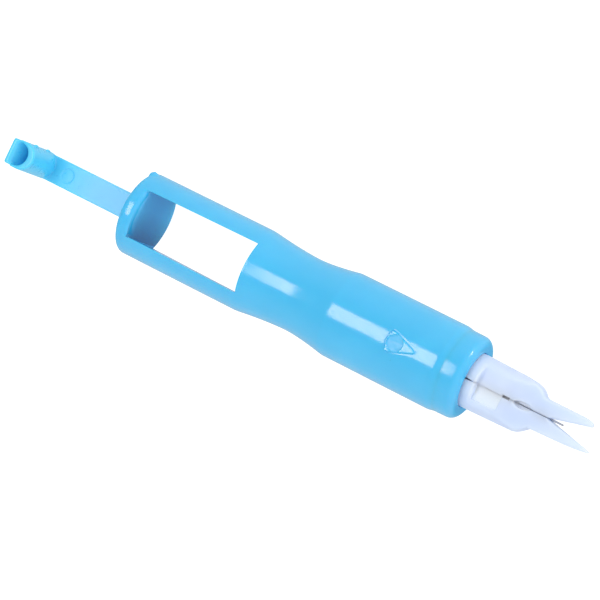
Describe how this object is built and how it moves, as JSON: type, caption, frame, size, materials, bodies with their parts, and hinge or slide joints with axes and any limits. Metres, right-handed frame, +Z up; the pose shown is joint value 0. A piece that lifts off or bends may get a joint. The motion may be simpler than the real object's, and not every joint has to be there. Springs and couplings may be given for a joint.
{
  "type": "sewing machine needle inserter and threader",
  "caption": "Pen-shaped hand tool with a needle holder post on a flat rear arm, a waisted hollow handle and a sprung fork with a fine wire for threading a needle.",
  "frame": {"origin": "under the middle of the tool's length, on the surface that it lies on", "axes": "+X along the tool towards the fork, +Z up on the side with the triangle mark, +Y to the left"},
  "size_m": [0.1169, 0.0156, 0.0159],
  "materials": {
    "handle_blue": "glossy moulded light blue plastic, slightly translucent",
    "arm_blue": "thin moulded section of the same light blue, paler because light passes through it",
    "milky": "milky translucent moulded plastic, satin gloss",
    "inner_white": "plain white moulded plastic",
    "steel": "drawn spring steel wire"
  },
  "bodies": {
    "handle": {"barrel": "handle_blue", "nose_ring": "handle_blue", "inserter_arm": "arm_blue", "wire_plug": "inner_white", "wire_sleeve": "steel", "hook_wire": "steel", "return_spring": "steel"},
    "fork_head": {"stop_collar": "inner_white", "fork_left": "milky", "fork_right": "milky"}
  },
  "joints": [
    {"name": "head_slide", "type": "slide", "parent": "handle", "child": "fork_head", "axis": [-1, 0, 0], "range_m": [0, 0.004], "stiffness_N_per_m": 150, "springref_m": -0.004, "deforming": ["return_spring"]}
  ]
}
